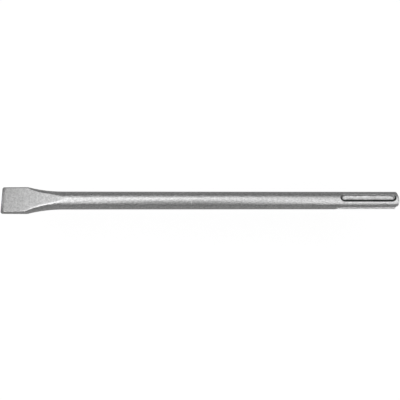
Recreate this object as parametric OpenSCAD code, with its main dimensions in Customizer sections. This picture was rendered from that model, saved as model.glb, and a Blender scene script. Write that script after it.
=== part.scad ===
// A flat chisel for a rotary hammer, forged in one piece.
// X runs along the tool from the cutting edge to the striking end.
// Z points out of the upper blade face.

/* [Tool] */

// Whole length, from the cutting edge to the striking end
tool_len = 400; // [300:5:600]
// Diameter of the bar and of the shank
bar_d = 18; // [17:0.1:19]

/* [Blade] */

// Width of the blade behind the cutting edge
blade_w = 27; // [24:0.5:32]
// Width of the flat part of each blade face
face_w = 23.8; // [20:0.2:24]
// Length from the cutting edge to where the faces run out on the bar
blade_len = 61; // [50:0.5:80]
// Length of the part of the blade that has parallel sides
straight_len = 25.5; // [15:0.5:32]
// Thickness of the blade where the ground bevel starts
bevel_t = 5.8; // [4:0.1:6]
// Length of the ground bevel
bevel_len = 3.5; // [2:0.1:5]
// Thickness that is left on the cutting edge
edge_t = 0.6; // [0.3:0.1:1]
// Amount by which the corners of the cutting edge are rounded off
corner_r = 1.2; // [0.4:0.1:1.5]

/* [Locking grooves] */

// Length of each closed locking groove along the shank
lock_len = 57.5; // [50:0.5:62]
// Distance from the striking end to the closed end of the groove
lock_back = 4.6; // [3.5:0.1:6]
// Width of the flat floor of the groove
lock_floor_w = 3.8; // [3:0.1:4.4]
// Angle of the sloping walls of the groove to its floor
lock_wall_angle = 40; // [38:1:60]
// Depth of the groove below the round of the shank
lock_depth = 2.9; // [2:0.1:3]

/* [Drive grooves] */

// Length of the open drive grooves, from the striking end
drive_len = 65; // [50:0.5:68]
// Radius of the curve in which a drive groove runs out
drive_runout_r = 10; // [8:0.5:20]
// Depth of the wide drive groove below the round of the shank
wide_depth = 2.6; // [2:0.1:3]
// Width of the floor of the wide drive groove
wide_floor_w = 6.6; // [6:0.1:7]
// Depth of the two narrow drive grooves below the round of the shank
narrow_depth = 2; // [1.5:0.1:2.4]
// Width of the floor of the narrow drive grooves
narrow_floor_w = 2.6; // [2:0.1:2.8]
// Angle between the two narrow drive grooves
narrow_angle = 43; // [41:1:44]
// Angle of the sloping flanks of the drive grooves to the floor
flank_angle = 50; // [45:1:60]
// Turn of the grooves on the shank against the blade
groove_turn = 8; // [0:1:15]

/* [Striking end] */

// Length of the bevelled rim around the striking end
end_bevel = 1.8; // [1:0.1:3]
// Rise of the crowned face over its rim
end_crown = 0.7; // [0.4:0.1:1.5]
// Radius of the crowned striking face
end_face_r = 6.4; // [5.5:0.1:7.5]

/* [Hidden] */

bar_r = bar_d / 2;
edge_x = -tool_len / 2;
end_x = tool_len / 2;
wall_from_x = edge_x + blade_len + 1;
loft_step = 2;
arc_steps = 12;
face_steps = 3;
neck_r = bar_r - 0.12;
crown_steps = 6;
end_flare = 0.04;
face_slope = (neck_r - bevel_t / 2) / (blade_len - bevel_len);
flare_len = blade_len - straight_len;
$fn = 96;

// Smaller of two values, rounded where they meet
function soft_min(a, b, k) = let(m = max(0, k - abs(a - b)) / k) min(a, b) - m * m * k / 4;

// Share of the flare left at distance s from the edge, falling away in a hollow curve
function flare(s) =
    let(u = max(0, (blade_len - s) / flare_len))
    u <= 0 ? 0 : max(0, soft_min(1, pow(u, 2.1), 0.08));

// Half of the blade thickness at distance s
function half_t(s) = min(neck_r, bevel_t / 2 + face_slope * (s - bevel_len));

// Half of the blade width at distance s, with the corners of the edge rounded off
function half_w(s) =
    let(corner = corner_r * (1 - sqrt(max(0, 1 - pow(max(0, 1 - s / corner_r), 2)))))
    neck_r + (blade_w / 2 - neck_r) * flare(s) - corner;

// Half of the width of the flat face at distance s
function half_face(s) =
    let(round_w = sqrt(max(0, neck_r * neck_r - pow(half_t(s), 2))))
    let(forged = min(round_w + (face_w / 2 - round_w) * pow(flare(s), 2.1), half_w(s) - 0.9))
    max(0.02, forged);

// Radius of the round side that joins the faces through the widest point
function side_r(s) =
    let(rise = half_w(s) - half_face(s))
    (pow(half_t(s), 2) + rise * rise) / (2 * rise);

// Point number i of one quarter of the section, from the side to the middle of the face
function quarter(s, i) =
    let(r = side_r(s))
    let(cy = half_w(s) - r)
    let(top = atan2(half_t(s), half_face(s) - cy))
    i <= arc_steps
        ? [cy + r * cos(top * i / arc_steps), r * sin(top * i / arc_steps)]
        : [half_face(s) * (1 - (i - arc_steps) / face_steps), half_t(s)];

// One closed section of the blade at distance s
function ring(s) =
    let(n = arc_steps + face_steps)
    [for (q = [0 : 3], i = [0 : n - 1])
        let(p = q % 2 == 0 ? quarter(s, i) : quarter(s, n - i))
        let(sy = (q == 0 || q == 3) ? 1 : -1)
        let(sz = q < 2 ? 1 : -1)
        [edge_x + s, sy * p[0], sz * p[1]]];

// Distances from the cutting edge at which a section is placed
function stations() =
    let(count = floor((blade_len - 3) / loft_step))
    concat(
        [0, 0.12, 0.3, 0.55, corner_r, 2],
        [for (k = [2 : count]) k * loft_step],
        [blade_len - 2.2, blade_len - 1.2, blade_len - 0.5, blade_len, blade_len + 0.5, blade_len + 3]
    );

// The forged blade with its neck, one section after another
module forged_blade() {
    at = stations();
    n = 4 * (arc_steps + face_steps);
    last = len(at) - 1;
    points = [for (s = at) each ring(s)];
    sides = [for (k = [0 : last - 1], i = [0 : n - 1]) each [
        [k * n + i, (k + 1) * n + (i + 1) % n, k * n + (i + 1) % n],
        [k * n + i, (k + 1) * n + i, (k + 1) * n + (i + 1) % n]
    ]];
    front = [[for (i = [0 : n - 1]) i]];
    back = [[for (i = [0 : n - 1]) last * n + n - 1 - i]];
    polyhedron(points = points, faces = concat(front, sides, back), convexity = 6);
}

// Solid above one ground bevel, to be taken off the blade
module bevel_cut() {
    slope = atan2((bevel_t - edge_t) / 2, bevel_len);
    translate([edge_x, 0, edge_t / 2])
        rotate([0, -slope, 0])
            translate([-10, -blade_w, 0])
                cube([bevel_len * 2 + 20, blade_w * 2, 20]);
}

// Outline of the bar and shank, as radius and distance along the tool
function bar_outline() =
    let(crown_r = (end_face_r * end_face_r + end_crown * end_crown) / (2 * end_crown))
    let(rim = asin(end_face_r / crown_r))
    concat(
        [[0, wall_from_x], [bar_r, wall_from_x], [bar_r, end_x - end_crown - end_bevel]],
        [for (k = [crown_steps : -1 : 1])
            [crown_r * sin(rim * k / crown_steps), end_x - crown_r * (1 - cos(rim * k / crown_steps))]],
        [[0, end_x]]
    );

// Round bar and shank with the bevelled and crowned striking end
module bar_body() {
    rotate([0, 90, 0])
        rotate_extrude()
            polygon(bar_outline());
}

// Closed groove with a flat floor, sloping walls and round ends, on the upper side
module lock_groove() {
    floor_z = bar_r - lock_depth;
    rise = lock_depth + 1;
    floor_r = lock_floor_w / 2;
    top_r = floor_r + rise / tan(lock_wall_angle);
    end_reach = floor_r + lock_depth / tan(lock_wall_angle);
    back_x = end_x - lock_back - end_reach;
    front_x = end_x - lock_back - lock_len + end_reach;
    union() {
        translate([front_x, 0, 0])
            rotate([90, 0, 90])
                linear_extrude(height = back_x - front_x)
                    polygon([
                        [-floor_r, floor_z],
                        [floor_r, floor_z],
                        [top_r, floor_z + rise],
                        [-top_r, floor_z + rise]
                    ]);
        translate([front_x, 0, floor_z])
            cylinder(r1 = floor_r + end_flare, r2 = top_r + end_flare, h = rise);
        translate([back_x, 0, floor_z])
            cylinder(r1 = floor_r + end_flare, r2 = top_r + end_flare, h = rise);
    }
}

// Open groove with a flat floor and sloping flanks, on the upper side
module drive_groove(depth, floor_w) {
    floor_z = bar_r - depth;
    top_z = bar_r + 2;
    spread = (top_z - floor_z) / tan(flank_angle);
    reach = sqrt(pow(drive_runout_r, 2) - pow(drive_runout_r - depth, 2));
    turn_x = end_x - drive_len + reach;
    intersection() {
        translate([end_x - drive_len - 1, 0, 0])
            rotate([90, 0, 90])
                linear_extrude(height = drive_len + 11)
                    polygon([
                        [-floor_w / 2, floor_z],
                        [floor_w / 2, floor_z],
                        [floor_w / 2 + spread, top_z],
                        [-floor_w / 2 - spread, top_z]
                    ]);
        union() {
            translate([turn_x, bar_d, floor_z + drive_runout_r])
                rotate([90, 0, 0])
                    cylinder(r = drive_runout_r, h = bar_d * 2);
            translate([turn_x, -bar_d, floor_z - 1])
                cube([drive_len + 20, bar_d * 2, 20]);
        }
    }
}

// The whole tool, one solid piece of steel
module chisel() {
    color([0.62, 0.63, 0.65])
        difference() {
            union() {
                forged_blade();
                bar_body();
            }
            bevel_cut();
            mirror([0, 0, 1])
                bevel_cut();
            rotate([-groove_turn, 0, 0]) {
                lock_groove();
                rotate([180, 0, 0])
                    lock_groove();
                rotate([90, 0, 0])
                    drive_groove(wide_depth, wide_floor_w);
                rotate([-90, 0, 0])
                    drive_groove(narrow_depth, narrow_floor_w);
                rotate([-90 - narrow_angle, 0, 0])
                    drive_groove(narrow_depth, narrow_floor_w);
            }
        }
}

chisel();
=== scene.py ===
import bpy
import math
from mathutils import Matrix, Vector


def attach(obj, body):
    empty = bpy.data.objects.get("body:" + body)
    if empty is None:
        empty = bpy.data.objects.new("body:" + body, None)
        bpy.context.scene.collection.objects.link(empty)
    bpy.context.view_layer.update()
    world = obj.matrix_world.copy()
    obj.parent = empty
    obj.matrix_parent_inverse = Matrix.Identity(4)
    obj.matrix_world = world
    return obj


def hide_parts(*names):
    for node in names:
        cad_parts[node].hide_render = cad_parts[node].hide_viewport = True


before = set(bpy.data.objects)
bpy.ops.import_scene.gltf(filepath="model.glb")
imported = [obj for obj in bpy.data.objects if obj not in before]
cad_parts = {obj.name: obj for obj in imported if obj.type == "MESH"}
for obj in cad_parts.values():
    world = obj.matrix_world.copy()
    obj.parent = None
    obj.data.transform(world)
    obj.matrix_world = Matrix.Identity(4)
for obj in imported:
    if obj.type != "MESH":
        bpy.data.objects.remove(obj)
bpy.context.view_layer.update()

scene = bpy.context.scene
print("frame loaded")

# Chisel in millimetres and degrees, with distances along it from the cutting edge
tool = {
    "length": 400.0,
    "barRadius": 8.95,
    "bladeHalf": 13.5,  # half of the width behind the cutting edge
    "faceHalf": 11.9,  # half of the width of the flat face
    "bladeLength": 60.9,
    "straight": 25.5,  # part of the blade with parallel sides
    "flarePower": 2.1,
    "flareSoft": 0.08,
    "sideLeast": 0.9,  # least width of the round side beside the face
    "arcOverlap": 0.12,
    "bevelHalf": 2.9,
    "bevelLength": 3.8,
    "edgeHalf": 0.3,
    "corner": 2.2,
    "turn": 5.5,  # of the grooves against the blade
    "lockLength": 57.5,
    "lockBack": 4.6,  # from the striking end
    "lockFloor": 2.0,  # half of the floor's width
    "lockWall": 49.5,
    "lockDepth": 3.3,
    "lockHollow": 0.055,  # rise of the hollow floor with the square of the distance from its middle
    "lockSoft": 0.4,
    "driveLength": 65.0,  # from the striking end
    "runout": 5.5,  # radius in which a drive groove ends
    "wideDepth": 3.2,
    "wideFloor": 2.75,  # half of the floor's width
    "narrowDepth": 2.0,
    "narrowFloor": 1.3,  # half of the floor's width
    "narrowAngle": 43.0,  # between the two narrow grooves
    "flank": 50.0,
    "driveSoft": 0.3,
    "endBevel": 1.8,
    "endCrown": 0.7,
    "endFace": 6.4,
    "edgeSoft": 0.22,  # rounding of the ridges
    "wornSoft": 0.7,  # rounding of the worn ridge on the near side
    "wornExtra": 0.6,  # more of it where the parallel sides end
    "wornSpread": 16.0,
    "highlightReach": 1.0,  # width of the painted highlight beside the ridge
    "highlightFade": 0.7,  # share of the painted highlight that is gone where the ridge runs out on the bar
    "highlightFrom": [21.5, 24.5],  # along the blade, between which the painted highlight begins
    "highlightTo": [50.9, 56.9],  # and between which it fades
    "highlightSide": 0.075,  # slope of the line that keeps the painted highlight on the near side
    "bevelWorn": 0.55,
    "shadeStart": -1.25,  # painted shade on the walls of the locking grooves, against the edge of the floor
    "shadeBlend": 0.85,
    "shadeLip": 0.15,
    "shadeFar": -0.95,  # no painted shade on the far side, as sine of the direction from the middle of the end
    "shadeRear": {"inset": 2.7, "slope": 1.4, "full": -0.45},  # how it thins around the rear end
    "shadeFront": {"inset": 0.9, "slope": 0.6, "full": 0.25},
    "sharpAngle": 38.0,
    # spacing of the mesh
    "quarterArc": 40,  # points on the round side of a quarter section
    "quarterFace": 24,  # points on its flat face
    "arcCrowding": 1.35,
    "arcLimit": 76.0,
    "ridgeSlack": 0.004,  # radians by which a point on the ridge counts as face
    "edgeRings": [0.0, 0.06, 0.15, 0.28, 0.45, 0.65, 0.9, 1.3, 1.8, 2.4, 3.0],
    "bevelRings": [-0.05, 0.06, 0.2],  # around the end of the bevel
    "bladeStart": 4.2,
    "bladeStep": 0.55,
    "bladeEnd": 61.1,
    "barSteps": 22,
    "barEnd": 67.0,  # from the striking end
    "shankStart": 66.5,  # from the striking end
    "shankStep": 1.5,
    "curveStep": 0.26,  # where a groove ends
    "endGap": 0.12,  # before the bevelled rim
    "curveRear": 11.0,
    "curveFront": 51.0,
    "bevelSteps": 8,
    "rimIn": 0.02,
    "crownSteps": 9,
    "fineAngles": 7200,
    "lipWeight": 3.0,  # crowding of the points beside the lip of a groove
    "lipSpread": 2.2,
    "cutFrom": 5.0,  # radii between which the cut of a locking groove is searched
    "cutTo": 11.0,
    "cutSteps": 18,
    "lockSpan": 0.6,  # cosines of the widest angles that a groove reaches
    "driveSpan": 0.2,
}

quarterCount = tool["quarterArc"] + tool["quarterFace"]
ringCount = 4 * quarterCount
farOut = 99.0  # a radius outside the whole tool


# Smaller of two values, rounded where they meet
def softMin(a, b, k):
    mix = max(0.0, k - abs(a - b)) / k
    return min(a, b) - mix * mix * k * 0.25


def softMax(a, b, k):
    return -softMin(-a, -b, k)


def smoothStep(a, b, x):
    t = min(1.0, max(0.0, (x - a) / (b - a)))
    return t * t * (3 - 2 * t)


# Half of the thickness of the forged blade, without its bevels
def bodyThickness(s):
    slope = (tool["barRadius"] - tool["bevelHalf"]) / (tool["bladeLength"] - tool["bevelLength"])
    return min(tool["barRadius"], tool["bevelHalf"] + slope * (s - tool["bevelLength"]))


# Half of the thickness with the bevels ground
def halfThickness(s):
    grind = tool["edgeHalf"] + (tool["bevelHalf"] - tool["edgeHalf"]) * s / tool["bevelLength"]
    return min(bodyThickness(s), grind)


# Share of the flare that is left, 1 on the parallel part and 0 on the bar
def flare(s):
    u = max(0.0, (tool["bladeLength"] - s) / (tool["bladeLength"] - tool["straight"]))
    return max(0.0, softMin(1.0, u ** tool["flarePower"], tool["flareSoft"])) if u > 0 else 0.0


def halfWidth(s):
    corner = tool["corner"]
    cut = corner * (1 - math.sqrt(max(0.0, 1 - max(0.0, 1 - s / corner) ** 2)))
    return tool["barRadius"] + (tool["bladeHalf"] - tool["barRadius"]) * flare(s) - cut


def halfFace(s):
    roundPart = math.sqrt(max(0.0, tool["barRadius"] ** 2 - bodyThickness(s) ** 2))
    forged = roundPart + (tool["faceHalf"] - roundPart) * flare(s) ** tool["flarePower"]
    return max(0.02, min(forged, halfWidth(s) - tool["sideLeast"]))


# Radius of the blade section at one polar angle of the first quarter
def bladeRadius(s, angle, soft):
    face, wide, high = halfFace(s), halfWidth(s), bodyThickness(s)
    rise = wide - face
    sideRadius = (high * high + rise * rise) / (2 * rise)
    centre = wide - sideRadius
    under = sideRadius * sideRadius - (centre * math.sin(angle)) ** 2
    arc = farOut
    if under > 0 and angle < math.atan2(high, face) + tool["arcOverlap"]:
        arc = centre * math.cos(angle) + math.sqrt(under)
    flat = halfThickness(s) / max(1e-6, math.sin(angle))
    return softMin(arc, flat, soft)


# Angles of the first quarter of a blade section, with one on the ridge
def bladeAngles(s):
    ridge = math.atan2(halfThickness(s), halfFace(s))
    split = min(ridge, math.radians(tool["arcLimit"]))
    n, m = tool["quarterArc"], tool["quarterFace"]
    low = [split * (1 - (1 - i / n) ** tool["arcCrowding"]) for i in range(n)]
    high = [split + (math.pi / 2 - split) * (i / m) for i in range(m)]
    return low + high


# The same angles mirrored to all four quarters
def fullRing(quarter):
    half = list(quarter)
    half += [math.pi - a for a in [math.pi / 2] + list(reversed(quarter[1:]))]
    return half + [a + math.pi for a in half]


# Kind, middle angle, depth and half of the floor's width
grooves = [
    ("lock", 90.0, 0, 0),
    ("lock", 270.0, 0, 0),
    ("drive", 180.0, tool["wideDepth"], tool["wideFloor"]),
    ("drive", 0.0, tool["narrowDepth"], tool["narrowFloor"]),
    ("drive", -tool["narrowAngle"], tool["narrowDepth"], tool["narrowFloor"]),
]


# Angle from the middle of a groove, within half a turn
def fromMiddle(angle, centre):
    delta = angle - math.radians(centre - tool["turn"])
    return math.atan2(math.sin(delta), math.cos(delta))


# Distances from the striking end between which a locking groove is straight
def lockStraight():
    reach = tool["lockFloor"] + tool["lockDepth"] / math.tan(math.radians(tool["lockWall"]))
    return tool["lockBack"] + reach, tool["lockBack"] + tool["lockLength"] - reach


# Radius at which a locking groove cuts the round, found by halving
def lockCut(delta, fromEnd):
    if math.cos(delta) <= tool["lockSpan"]:
        return farOut
    wall, floorHalf = math.tan(math.radians(tool["lockWall"])), tool["lockFloor"]
    rear, front = lockStraight()
    over = max(0.0, rear - fromEnd, fromEnd - front)
    low, high = tool["cutFrom"], tool["cutTo"]
    for step in range(tool["cutSteps"]):
        r = (low + high) / 2
        aside = math.hypot(r * math.sin(delta), over)
        rise = softMax((aside - floorHalf) * wall, aside * aside * tool["lockHollow"], tool["lockSoft"])
        if r * math.cos(delta) < tool["barRadius"] - tool["lockDepth"] + rise:
            low = r
        else:
            high = r
    return (low + high) / 2


# Radius at which an open drive groove cuts the round
def driveCut(delta, fromEnd, depth, floorHalf):
    if math.cos(delta) <= tool["driveSpan"]:
        return farOut
    bend = tool["runout"]
    reach = math.sqrt(bend * bend - (bend - depth) ** 2)
    over = max(0.0, fromEnd - (tool["driveLength"] - reach))
    if over >= bend:
        return farOut
    floor = tool["barRadius"] - depth
    lifted = floor + bend - math.sqrt(bend * bend - over * over)
    cot = 1 / math.tan(math.radians(tool["flank"]))
    toward = math.cos(delta) * cot - abs(math.sin(delta))
    if toward <= 1e-6:
        return farOut
    return softMax((floor * cot - floorHalf) / toward, lifted / math.cos(delta), tool["driveSoft"])


def grooveCut(groove, delta, fromEnd):
    kind, centre, depth, floorHalf = groove
    return lockCut(delta, fromEnd) if kind == "lock" else driveCut(delta, fromEnd, depth, floorHalf)


# Radius of the shank with its grooves, where the round alone has the given radius
def shankRadius(angle, fromEnd, radius):
    r = radius
    for groove in grooves:
        cut = grooveCut(groove, fromMiddle(angle, groove[1]), fromEnd)
        if cut < radius + 1:
            r = softMin(r, cut, tool["edgeSoft"])
    return r


# Share of painted shade at one point of the shank, dark on one long wall and around the round ends of the
# locking grooves
def paintedGrooveShade(angle, fromEnd):
    total = 0.0
    rear, front = lockStraight()
    for kind, centre, depth, floorHalf in grooves:
        if kind != "lock":
            continue
        delta = fromMiddle(angle, centre)
        r = lockCut(delta, fromEnd)
        if r > tool["barRadius"] + tool["shadeLip"]:
            continue
        over = max(0.0, rear - fromEnd, fromEnd - front)
        across = r * math.sin(delta)
        aside = math.hypot(across, over)
        lower = across / max(0.1, aside)
        end = tool["shadeRear"] if fromEnd < rear else tool["shadeFront"]
        inset = min(end["inset"], over * end["slope"]) * (1 - max(0.0, lower))
        start = tool["lockFloor"] + tool["shadeStart"] + inset
        wall = smoothStep(start, start + tool["shadeBlend"], aside)
        total = max(total, wall * smoothStep(tool["shadeFar"], end["full"], lower))
    return total


# Angles for the shank, closer together beside the lips of the grooves
def shankAngles():
    lips = []
    inDeep = 30  # a distance from the end at which all grooves have their full depth
    for groove in grooves:
        before = None
        for tenth in range(-700, 701):
            delta = math.radians(tenth / 10)
            inside = grooveCut(groove, delta, inDeep) < tool["barRadius"]
            if before is not None and inside != before:
                lips.append(math.radians(groove[1] - tool["turn"]) + delta)
            before = inside
    fine = tool["fineAngles"]
    weights = []
    for i in range(fine):
        a = i / fine * 2 * math.pi
        weight = 1.0
        for lip in lips:
            away = math.degrees(abs(math.atan2(math.sin(a - lip), math.cos(a - lip))))
            weight += tool["lipWeight"] * math.exp(-(away / tool["lipSpread"]) ** 2)
        weights.append(weight)
    total = sum(weights)
    angles, reached = [], 0.0
    for i in range(fine):
        while len(angles) < ringCount and reached >= total * len(angles) / ringCount:
            angles.append(i / fine * 2 * math.pi)
        reached += weights[i]
    return angles


# Sections of the blade, with the share of flat face and of lighter metal at each point: the ground bevel, and
# a painted highlight beside the ridge on the near side
def bladeRings():
    rings, flatness, wearAndHighlight = [], [], []
    stations = tool["edgeRings"] + [tool["bevelLength"] + d for d in tool["bevelRings"]]
    s = tool["bladeStart"]
    while s < tool["bladeEnd"]:
        stations.append(s)
        s += tool["bladeStep"]
    for s in stations:
        ring = []
        ridgeY, ridgeZ = halfFace(s), bodyThickness(s)
        ridge = math.atan2(ridgeZ, ridgeY)
        fresh = max(0.0, 1 - abs(s - tool["straight"]) / tool["wornSpread"])
        along = smoothStep(*tool["highlightFrom"], s) * (1 - tool["highlightFade"] * smoothStep(*tool["highlightTo"], s))
        ground = tool["bevelWorn"] if s < tool["bevelLength"] else 0.0
        nearLimit = tool["highlightSide"] * (s - tool["bladeLength"])
        for a in fullRing(bladeAngles(s)):
            q = math.atan2(abs(math.sin(a)), abs(math.cos(a)))
            soft = tool["wornSoft"] + tool["wornExtra"] * fresh if math.cos(a) < 0 else tool["edgeSoft"]
            r = bladeRadius(s, q, soft)
            ring.append((s, r * math.cos(a), r * math.sin(a)))
            flatness.append(1.0 if q > ridge - tool["ridgeSlack"] else 0.0)
            # Painted highlight beside the ridge on the near side, with the ground bevel's own share
            gap = math.hypot(r * abs(math.cos(a)) - ridgeY, r * abs(math.sin(a)) - ridgeZ)
            close = max(0.0, 1 - (gap / tool["highlightReach"]) ** 2)
            wearAndHighlight.append(max(ground, close * along if r * math.cos(a) < nearLimit else 0.0))
        rings.append(ring)
    return rings, flatness, wearAndHighlight


# Plain bar, on which the angles of the blade turn into those of the shank
def barRings(shank):
    rings = []
    first = fullRing(bladeAngles(tool["bladeLength"] + 1))
    start, stop = tool["bladeLength"] + 1.0, tool["length"] - tool["barEnd"]
    for i in range(tool["barSteps"] + 1):
        t = i / tool["barSteps"]
        angles = [a + (b - a) * t for a, b in zip(first, shank)]
        rings.append([(start + (stop - start) * t,
                       tool["barRadius"] * math.cos(a),
                       tool["barRadius"] * math.sin(a)) for a in angles])
    return rings


def shankRing(shank, fromEnd, cutAt, radius):
    ring = []
    for a in shank:
        r = shankRadius(a, cutAt, radius)
        ring.append((tool["length"] - fromEnd, r * math.cos(a), r * math.sin(a)))
    return ring


# Grooved shank, with the share of painted shade at each point
def grooveRings(shank):
    rings, paintedShade = [], []
    fromEnd = tool["shankStart"]
    while fromEnd > tool["endBevel"] + tool["endCrown"] + tool["endGap"]:
        rings.append(shankRing(shank, fromEnd, fromEnd, tool["barRadius"]))
        # painted shade in the locking grooves, darkest on one long wall and the ends
        paintedShade += [paintedGrooveShade(a, fromEnd) for a in shank]
        curved = fromEnd > tool["curveFront"] or fromEnd < tool["curveRear"]
        fromEnd -= tool["curveStep"] if curved else tool["shankStep"]
    return rings, paintedShade


# Bevelled rim and crowned striking face
def endRings(shank):
    barR, rim, faceR, bevel = tool["barRadius"], tool["endCrown"], tool["endFace"], tool["endBevel"]
    crownR = (faceR ** 2 + rim ** 2) / (2 * rim)
    profile = [(rim + bevel + tool["endGap"] / 2, barR)]
    for i in range(tool["bevelSteps"] + 1):
        t = i / tool["bevelSteps"]
        profile.append((rim + bevel * (1 - t) - tool["rimIn"], barR + (faceR - barR) * t - tool["rimIn"] / 2))
    for i in range(1, tool["crownSteps"]):
        r = faceR * (1 - i / tool["crownSteps"])
        profile.append((crownR - math.sqrt(crownR ** 2 - r ** 2), r))
    return [shankRing(shank, fromEnd, max(fromEnd, 0.5), radius) for fromEnd, radius in profile]


def chiselMesh():
    shank = shankAngles()
    rings, flatness, wearAndHighlight = bladeRings()
    rings += barRings(shank)
    clean = [0.0] * (len(rings) * ringCount)
    grooved, paintedShade = grooveRings(shank)
    rings += grooved + endRings(shank)
    half = tool["length"] / 2
    verts = [((x - half) / 1000, y / 1000, z / 1000) for ring in rings for x, y, z in ring]
    faces = []
    n = ringCount
    for k in range(len(rings) - 1):
        for i in range(n):
            j = (i + 1) % n
            faces.append((k * n + i, k * n + j, (k + 1) * n + j, (k + 1) * n + i))
    last = len(verts) - n
    strikeIndex, edgeIndex = len(verts), len(verts) + 1
    verts += [(half / 1000, 0, 0), (-half / 1000, 0, 0)]
    faces += [(last + i, last + (i + 1) % n, strikeIndex) for i in range(n)]
    faces += [((i + 1) % n, i, edgeIndex) for i in range(n)]
    mesh = bpy.data.meshes.new("chiselForging")
    mesh.from_pydata(verts, [], faces)
    # Attributes: flat face, ground bevel with the painted highlight on the near ridge, and painted shade in
    # the locking grooves
    for name, values in (("faceShare", flatness), ("wearAndHighlightShare", wearAndHighlight), ("paintedShadeShare", clean + paintedShade)):
        layer = mesh.attributes.new(name, "FLOAT", "POINT")
        layer.data.foreach_set("value", values + [0.0] * (len(verts) - len(values)))
    mesh.update()
    mesh.polygons.foreach_set("use_smooth", [True] * len(mesh.polygons))
    mesh.set_sharp_from_angle(angle=math.radians(tool["sharpAngle"]))
    return mesh


chisel = bpy.data.objects.new("chiselForging", chiselMesh())
scene.collection.objects.link(chisel)
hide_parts("chisel")
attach(chisel, "root")
print("chisel built", len(chisel.data.polygons))

# Finishes of the steel
finish = {
    "faceStart": (0.64, 0.64, 0.64, 1),  # blade face near the cutting edge
    "faceTip": (0.83, 0.83, 0.83, 1),  # blade face where it runs out on the bar
    "faceFrom": -0.192,  # metres along the tool between which it grows lighter
    "faceTo": -0.142,
    "faceRough": 0.60,
    "barColor": (0.74, 0.74, 0.74, 1),
    "barRough": 0.29,
    # white, for the ground bevel and for the painted highlight along the near ridge
    "wearAndHighlightColor": (1.0, 1.0, 1.0, 1),
    # near black, for the painted shade in the locking grooves
    "paintedShadeColor": (0.045, 0.045, 0.045, 1),
    "streakScale": (330, 800, 800),
    "speckScale": (700, 800, 800),
    "blotchScale": (480, 480, 480),
    "grainDetail": 2.0,
    "grainDepth": 0.00009,
    "grainShade": 0.34,
    "speckShade": 0.2,
    "markHeight": 9.0,  # radius in millimetres on which the marks lie
    "markReach": 0.004,
}

# Marks on the upper side of the bar, as middle x, middle y, angle, length, width in millimetres and tone
marks = [
    (-110.8, 3.9, 10.0, 2.0, 1.6, 0.65),
    (-28.5, 3.0, 35.0, 6.5, 1.0, 1.35),
    (-22.0, 5.9, 22.0, 9.0, 1.1, 1.7),
    (-12.3, -4.5, 88.0, 4.6, 1.1, 1.4),
    (73.6, 4.3, 12.0, 3.2, 1.2, 1.5),
    (40.6, -1.0, 60.0, 2.6, 1.4, 0.8),
]


# Links a socket, or sets a plain value
def feed(tree, value, target):
    if isinstance(value, bpy.types.NodeSocket):
        tree.links.new(value, target)
    else:
        target.default_value = value


# Mask of a short mark, 1 in its middle and 0 outside
def markGroup():
    group = bpy.data.node_groups.new("markMask", "ShaderNodeTree")
    for name in ("Location", "Rotation", "Size"):
        group.interface.new_socket(name, in_out="INPUT", socket_type="NodeSocketVector")
    group.interface.new_socket("Mask", in_out="OUTPUT", socket_type="NodeSocketFloat")
    inside = group.nodes.new("NodeGroupInput")
    outside = group.nodes.new("NodeGroupOutput")
    coord = group.nodes.new("ShaderNodeTexCoord")
    place = group.nodes.new("ShaderNodeMapping")
    place.vector_type = "TEXTURE"
    reach = group.nodes.new("ShaderNodeVectorMath")
    reach.operation = "LENGTH"
    fade = group.nodes.new("ShaderNodeMapRange")
    fade.interpolation_type = "SMOOTHSTEP"
    fade.inputs["From Min"].default_value = 1.0
    fade.inputs["From Max"].default_value = 0.45
    feed(group, coord.outputs["Object"], place.inputs["Vector"])
    feed(group, inside.outputs["Location"], place.inputs["Location"])
    feed(group, inside.outputs["Rotation"], place.inputs["Rotation"])
    feed(group, inside.outputs["Size"], place.inputs["Scale"])
    feed(group, place.outputs["Vector"], reach.inputs[0])
    feed(group, reach.outputs["Value"], fade.inputs["Value"])
    feed(group, fade.outputs["Result"], outside.inputs["Mask"])
    return group


# Noise spread between 0 and 1, finer where the scale is larger
def grainNode(tree, coord, scale, low, high):
    place = tree.nodes.new("ShaderNodeMapping")
    place.inputs["Scale"].default_value = scale
    noise = tree.nodes.new("ShaderNodeTexNoise")
    noise.inputs["Scale"].default_value = 1.0
    noise.inputs["Detail"].default_value = finish["grainDetail"]
    feed(tree, coord, place.inputs["Vector"])
    feed(tree, place.outputs["Vector"], noise.inputs["Vector"])
    return spread(tree, noise.outputs["Fac"], low, high)


def spread(tree, value, low, high):
    node = tree.nodes.new("ShaderNodeMapRange")
    node.inputs["From Min"].default_value = low
    node.inputs["From Max"].default_value = high
    feed(tree, value, node.inputs["Value"])
    return node.outputs["Result"]


def mixColor(tree, factor, first, second):
    node = tree.nodes.new("ShaderNodeMix")
    node.data_type = "RGBA"
    for index, value in ((0, factor), (6, first), (7, second)):  # 6 and 7 are the colours A and B
        feed(tree, value, node.inputs[index])
    return node.outputs[2]


def calc(tree, operation, *values):
    node = tree.nodes.new("ShaderNodeMath")
    node.operation = operation
    for index, value in enumerate(values):
        feed(tree, value, node.inputs[index])
    return node.outputs[0]


# Darkens and lightens by the given share around 1
def shadeBy(tree, value, amount):
    return calc(tree, "MULTIPLY_ADD", value, amount, 1 - amount / 2)


def share(tree, name):
    node = tree.nodes.new("ShaderNodeAttribute")
    node.attribute_name = name
    return node.outputs["Fac"]


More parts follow.
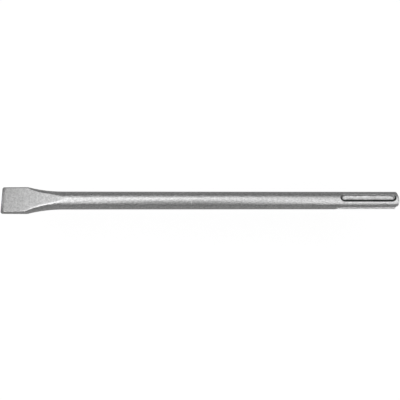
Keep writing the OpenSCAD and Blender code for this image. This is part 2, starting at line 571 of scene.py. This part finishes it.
def steelMaterial():
    mat = bpy.data.materials.new("forgedSteel")
    mat.use_nodes = True
    tree = mat.node_tree
    bsdf = tree.nodes["Principled BSDF"]
    bsdf.inputs["Metallic"].default_value = 1.0
    # Shares of flat face, of the ground bevel with the painted highlight, and of the painted shade in the
    # locking grooves
    face, wearAndHighlight, paintedShade = share(tree, "faceShare"), share(tree, "wearAndHighlightShare"), share(tree, "paintedShadeShare")
    coord = tree.nodes.new("ShaderNodeTexCoord").outputs["Object"]

    # Colour of the bar, of the blade face, and of the ground bevel and the painted highlight on the near
    # ridge
    split = tree.nodes.new("ShaderNodeSeparateXYZ")
    feed(tree, coord, split.inputs[0])
    along = spread(tree, split.outputs["X"], finish["faceFrom"], finish["faceTo"])
    faceTone = mixColor(tree, along, finish["faceStart"], finish["faceTip"])
    tone = mixColor(tree, face, finish["barColor"], faceTone)
    # ground bevel and painted highlight on the near ridge, mixed toward white
    tone = mixColor(tree, wearAndHighlight, tone, finish["wearAndHighlightColor"])

    # Grain, with streaks on the bar and blotches on the blade face
    streak = grainNode(tree, coord, finish["streakScale"], 0.3, 0.7)
    speck = grainNode(tree, coord, finish["speckScale"], 0.3, 0.7)
    blotch = grainNode(tree, coord, finish["blotchScale"], 0.22, 0.78)
    grain = mixColor(tree, face, streak, blotch)
    shade = calc(tree, "MULTIPLY",
                 shadeBy(tree, grain, finish["grainShade"]),
                 shadeBy(tree, speck, finish["speckShade"]))
    group = markGroup()
    for x, y, angle, length, width, level in marks:
        node = tree.nodes.new("ShaderNodeGroup")
        node.node_tree = group
        z = math.sqrt(finish["markHeight"] ** 2 - y * y)
        node.inputs["Location"].default_value = (x / 1000, y / 1000, z / 1000)
        node.inputs["Rotation"].default_value = (0, 0, math.radians(angle))
        node.inputs["Size"].default_value = (length / 2000, width / 2000, finish["markReach"])
        lift = calc(tree, "MULTIPLY_ADD", node.outputs["Mask"], level - 1, 1.0)
        shade = calc(tree, "MULTIPLY", shade, lift)
    scaled = tree.nodes.new("ShaderNodeVectorMath")
    scaled.operation = "SCALE"
    feed(tree, tone, scaled.inputs[0])
    feed(tree, shade, scaled.inputs["Scale"])
    # painted shade in the locking grooves, mixed over the steel colour
    final = mixColor(tree, paintedShade, scaled.outputs["Vector"], finish["paintedShadeColor"])
    feed(tree, final, bsdf.inputs["Base Color"])

    bumpy = tree.nodes.new("ShaderNodeBump")
    bumpy.inputs["Strength"].default_value = 1.0
    bumpy.inputs["Distance"].default_value = finish["grainDepth"]
    feed(tree, calc(tree, "ADD", grain, speck), bumpy.inputs["Height"])
    feed(tree, bumpy.outputs["Normal"], bsdf.inputs["Normal"])

    rough = tree.nodes.new("ShaderNodeMix")
    for index, value in ((0, face), (2, finish["barRough"]), (3, finish["faceRough"])):
        feed(tree, value, rough.inputs[index])
    feed(tree, rough.outputs[0], bsdf.inputs["Roughness"])
    return mat


chisel.data.materials.append(steelMaterial())
print("finish made")

# Floor, lamps and camera, in metres
studio = {
    "floorHalf": 4.0,
    "floorHeight": -0.069,
    "floorColor": (0.36, 0.36, 0.36, 1),
    "floorGlow": 0.8,
    "glossShare": 0.05,  # share of the white floor that the steel mirrors
    "worldGlow": 0.2,
    "lamps": [  # name, place, point it looks at, size, radiance
        ("mainLeft", (-0.55, 0.265, 1.0), (-0.55, 0.265, 0), (1.5, 0.83), 1.06),
        ("mainRight", (0.75, 0.24, 1.0), (0.75, 0.24, 0), (1.1, 0.86), 0.6),
        ("ridgeLeft", (-0.74, -0.62, 1.0), (-0.74, -0.62, 0), (0.46, 0.8), 1.85),
        ("lowLeft", (-0.39, -0.6, 1.0), (-0.39, -0.6, 0), (0.28, 0.86), 1.02),
        ("lowRight", (0.62, -0.53, 1.0), (0.62, -0.53, 0), (0.84, 0.66), 0.98),
        ("shankSide", (0.66, -0.93, 0.80), (0.16, 0, 0), (0.4, 0.3), 1.7),
    ],
    "distance": 0.505,
    "elevation": 76.0,
    "yaw": 3.0,
    "lens": 45.0,
    "shiftX": -0.0087,
    "shiftY": 0.00135,
}


# Floor that is white to the camera and keeps the shadow of the chisel
def addFloor():
    reach = studio["floorHalf"]
    mesh = bpy.data.meshes.new("paleFloor")
    corners = [(-reach, -reach, 0), (reach, -reach, 0), (reach, reach, 0), (-reach, reach, 0)]
    mesh.from_pydata(corners, [], [(0, 1, 2, 3)])
    floor = bpy.data.objects.new("paleFloor", mesh)
    floor.location.z = studio["floorHeight"]
    scene.collection.objects.link(floor)
    mat = bpy.data.materials.new("paleFloor")
    mat.use_nodes = True
    tree = mat.node_tree
    bsdf = tree.nodes["Principled BSDF"]
    bsdf.inputs["Base Color"].default_value = studio["floorColor"]
    bsdf.inputs["Roughness"].default_value = 1.0
    bsdf.inputs["Emission Color"].default_value = (1, 1, 1, 1)
    path = tree.nodes.new("ShaderNodeLightPath")
    seen = calc(tree, "MAXIMUM", path.outputs["Is Camera Ray"], path.outputs["Is Transmission Ray"])
    mirrored = calc(tree, "MULTIPLY", path.outputs["Is Glossy Ray"], studio["glossShare"])
    glow = calc(tree, "MULTIPLY", calc(tree, "MAXIMUM", seen, mirrored), studio["floorGlow"])
    feed(tree, glow, bsdf.inputs["Emission Strength"])
    mesh.materials.append(mat)


# World that is white to the camera and dim to everything else
def addWorld():
    world = bpy.data.worlds.new("studio")
    world.use_nodes = True
    tree = world.node_tree
    background = tree.nodes["Background"]
    background.inputs["Color"].default_value = (1, 1, 1, 1)
    path = tree.nodes.new("ShaderNodeLightPath")
    seen = calc(tree, "MAXIMUM", path.outputs["Is Camera Ray"], path.outputs["Is Transmission Ray"])
    strength = calc(tree, "MULTIPLY_ADD", seen, 1 - studio["worldGlow"], studio["worldGlow"])
    feed(tree, strength, background.inputs["Strength"])
    scene.world = world


def addLamp(name, spot, target, size, radiance):
    lamp = bpy.data.lights.new(name, "AREA")
    lamp.shape = "RECTANGLE"
    lamp.size, lamp.size_y = size
    lamp.energy = radiance * math.pi * size[0] * size[1]
    obj = bpy.data.objects.new(name, lamp)
    obj.location = spot
    obj.rotation_euler = (Vector(target) - Vector(spot)).to_track_quat("-Z", "Y").to_euler()
    scene.collection.objects.link(obj)


# Camera over the near side, turned a little about the upright axis
def addCamera():
    data = bpy.data.cameras.new("photoCamera")
    data.lens = studio["lens"]
    data.sensor_width = 36
    data.shift_x, data.shift_y = studio["shiftX"], studio["shiftY"]
    rise, yaw = math.radians(studio["elevation"]), math.radians(studio["yaw"])
    side = Vector((0, -math.cos(rise), math.sin(rise)))
    back = (side * math.cos(yaw) + Vector((-math.sin(yaw), 0, 0))).normalized()
    right = (Vector((math.cos(yaw), 0, 0)) + side * math.sin(yaw)).normalized()
    camera = bpy.data.objects.new("photoCamera", data)
    camera.location = back * studio["distance"]
    camera.rotation_euler = Matrix((right, back.cross(right), back)).transposed().to_euler()
    scene.collection.objects.link(camera)
    scene.camera = camera


addFloor()
addWorld()
for lampValues in studio["lamps"]:
    addLamp(*lampValues)
addCamera()
scene.view_settings.view_transform = "Standard"
print("stage made")
